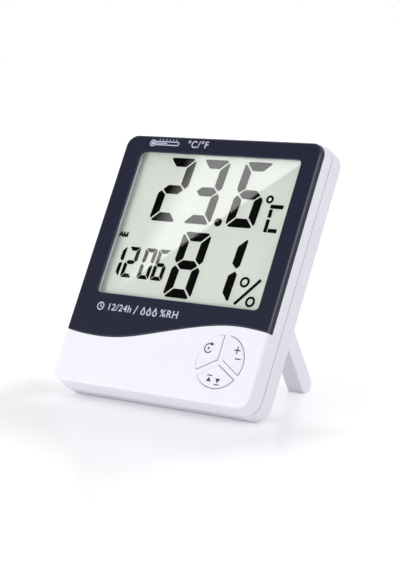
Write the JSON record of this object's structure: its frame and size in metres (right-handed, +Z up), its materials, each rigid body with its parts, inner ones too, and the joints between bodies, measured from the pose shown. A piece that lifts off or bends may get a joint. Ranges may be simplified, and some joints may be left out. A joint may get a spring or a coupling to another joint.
{
  "type": "thermometer hygrometer clock",
  "caption": "Free-standing desk clock with temperature and humidity display, sector buttons and a hinged leg in its back.",
  "frame": {"origin": "middle of the footprint on the surface that the clock stands on", "axes": "+X to the right seen from the front, +Y from the front to the back, +Z up; the case leans back 28.24 degrees about X onto its open leg"},
  "size_m": [0.098, 0.0698, 0.1017],
  "materials": {
    "white_plastic": "smooth semi-gloss white ABS",
    "button_plastic": "smooth semi-gloss white ABS",
    "grey_plastic": "fine matt grey plastic",
    "dark_panel": "polished blue-black plastic",
    "clear_lens": "clear polished acrylic",
    "display_glass": "clear glass with a grey-green tint",
    "display_ink": "near black liquid crystal segments",
    "reflector_foil": "pale grey-green reflector film",
    "pad_rubber": "soft dark silicone rubber",
    "green_board": "green solder mask",
    "zinc_screw": "zinc plated steel",
    "bright_steel": "bright plated steel",
    "black_resin": "black epoxy",
    "brass_disc": "thin brass plate",
    "cell_jacket": "printed film over a steel can, left plain",
    "black_sleeve": "smooth black insulation",
    "red_sleeve": "smooth red insulation"
  },
  "bodies": {
    "case": {"front_shell": "white_plastic", "face_panel": "dark_panel", "window_lens": "clear_lens", "display_glass": "display_glass", "display_marks": "display_ink", "display_reflector": "reflector_foil", "display_frame": "white_plastic", "zebra_connector": "pad_rubber", "circuit_board": "green_board", "board_screws": "zinc_screw", "chip_blob": "black_resin", "clock_crystal": "bright_steel", "board_capacitors": "black_resin", "thermistor": "black_resin", "humidity_sensor": "button_plastic", "button_membrane": "pad_rubber", "rear_switches": "black_resin", "rear_shell": "white_plastic", "shell_screws": "zinc_screw", "piezo_buzzer": "brass_disc", "stand_pin": "bright_steel", "battery_cell": "cell_jacket", "battery_minus_contact": "bright_steel", "battery_plus_contact": "bright_steel", "battery_minus_lead": "black_sleeve", "battery_plus_lead": "red_sleeve"},
    "stand": {"stand_leg": "white_plastic"},
    "door": {"battery_door": "white_plastic"},
    "mode": {"mode_button": "button_plastic"},
    "adjust": {"adjust_button": "button_plastic"},
    "memory": {"memory_button": "button_plastic"},
    "unit": {"unit_button": "grey_plastic"},
    "reset": {"reset_button": "grey_plastic"}
  },
  "joints": [
    {"name": "stand_hinge", "type": "hinge", "parent": "case", "child": "stand", "pos_m": [0.0267, 0.00542, 0.05275], "axis": [1, 0, 0], "range_deg": [-57.96, 0]},
    {"name": "door_hinge", "type": "hinge", "parent": "case", "child": "door", "pos_m": [-0.01225, -0.01994, 0.00449], "axis": [-1, 0, 0], "range_deg": [0, 70]},
    {"name": "mode_press", "type": "slide", "parent": "case", "child": "mode", "axis": [0, 0.881, -0.4732], "range_m": [0, 0.0007], "stiffness_N_per_m": 800},
    {"name": "adjust_press", "type": "slide", "parent": "case", "child": "adjust", "axis": [0, 0.881, -0.4732], "range_m": [0, 0.0007], "stiffness_N_per_m": 800},
    {"name": "memory_press", "type": "slide", "parent": "case", "child": "memory", "axis": [0, 0.881, -0.4732], "range_m": [0, 0.0007], "stiffness_N_per_m": 800},
    {"name": "unit_press", "type": "slide", "parent": "case", "child": "unit", "axis": [0, -0.881, 0.4732], "range_m": [0, 0.0005], "stiffness_N_per_m": 800},
    {"name": "reset_press", "type": "slide", "parent": "case", "child": "reset", "axis": [0, -0.881, 0.4732], "range_m": [0, 0.0005], "stiffness_N_per_m": 800}
  ]
}
